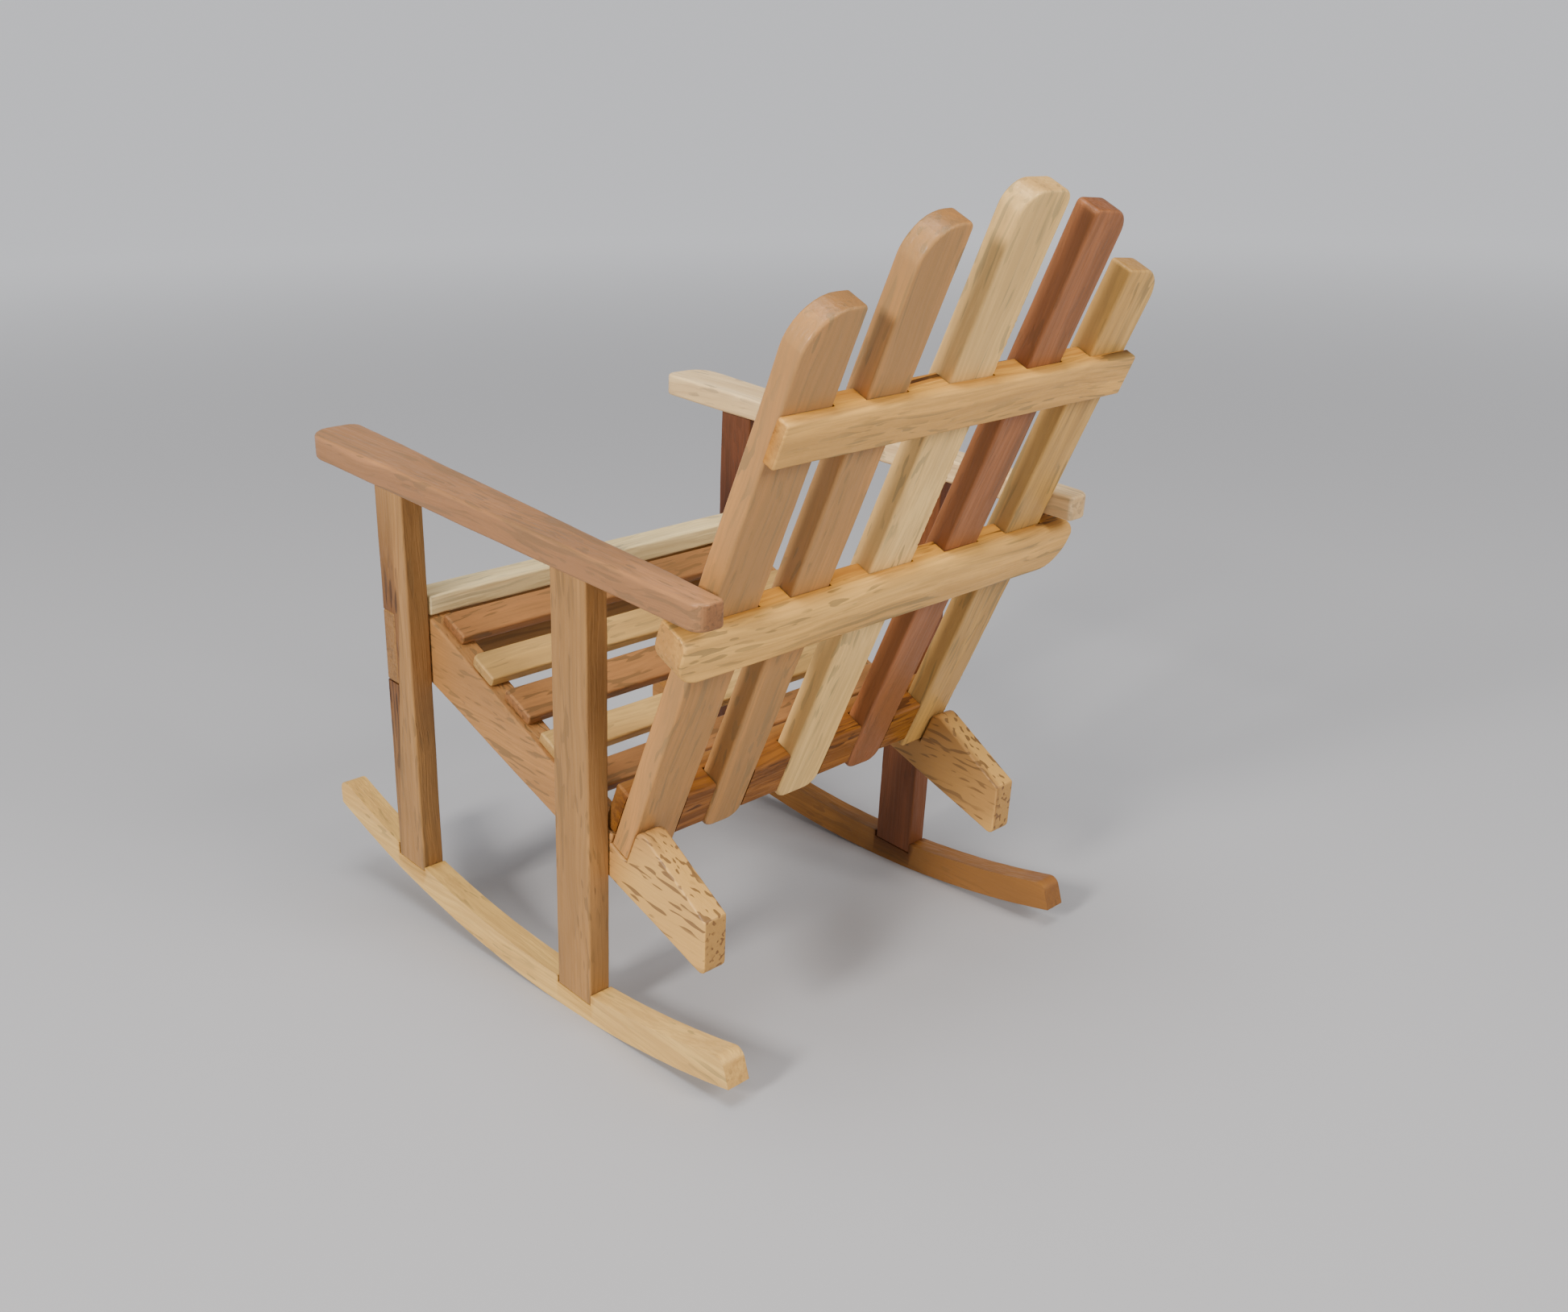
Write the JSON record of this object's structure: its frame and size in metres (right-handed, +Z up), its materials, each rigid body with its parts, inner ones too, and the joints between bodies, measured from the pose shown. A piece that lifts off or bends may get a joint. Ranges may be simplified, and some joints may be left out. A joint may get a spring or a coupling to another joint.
{
  "type": "miniature rocking chair",
  "caption": "Dolls house rocking chair of thin varnished wood strips: sloping slatted seat, leaning slatted back, flat arms, square posts and two curved rockers.",
  "frame": {"origin": "on the floor, at the centre of the chair's outline seen from above, with the chair in its balanced rest pose on its rockers", "axes": "+Z up, the chair faces -Y, and +X is the sitter's left"},
  "size_m": [0.0574, 0.0878, 0.0851],
  "materials": {
    "honey_wood": "honey-coloured hardwood strip under a thin satin varnish",
    "deep_honey_wood": "darker honey hardwood strip under a thin satin varnish",
    "pink_tan_wood": "pinkish tan hardwood strip with dark streaks, thin satin varnish",
    "pale_wood": "pale yellow hardwood strip under a thin satin varnish",
    "walnut_wood": "reddish walnut-brown hardwood strip under a thin satin varnish",
    "rose_wood": "pinkish tan hardwood strip with many short dark pore flecks, thin satin varnish"
  },
  "bodies": {
    "root": {"rocker_left": "honey_wood", "rocker_right": "honey_wood", "front_post_left": "honey_wood", "front_post_right": "deep_honey_wood", "rear_post_left": "honey_wood", "rear_post_right": "deep_honey_wood", "arm_left": "pink_tan_wood", "arm_right": "pink_tan_wood", "front_apron": "honey_wood", "front_seat_strip": "pale_wood", "seat_rail_left": "rose_wood", "seat_rail_right": "rose_wood", "seat_slat_1": "rose_wood", "seat_slat_2": "pale_wood", "seat_slat_3": "rose_wood", "seat_slat_4": "pale_wood", "seat_slat_5": "rose_wood", "back_slat_1": "honey_wood", "back_slat_2": "honey_wood", "back_slat_3": "pale_wood", "back_slat_4": "walnut_wood", "back_slat_5": "pale_wood", "lower_back_rail": "deep_honey_wood", "arm_back_rail": "honey_wood", "upper_back_rail": "honey_wood"}
  },
  "joints": []
}
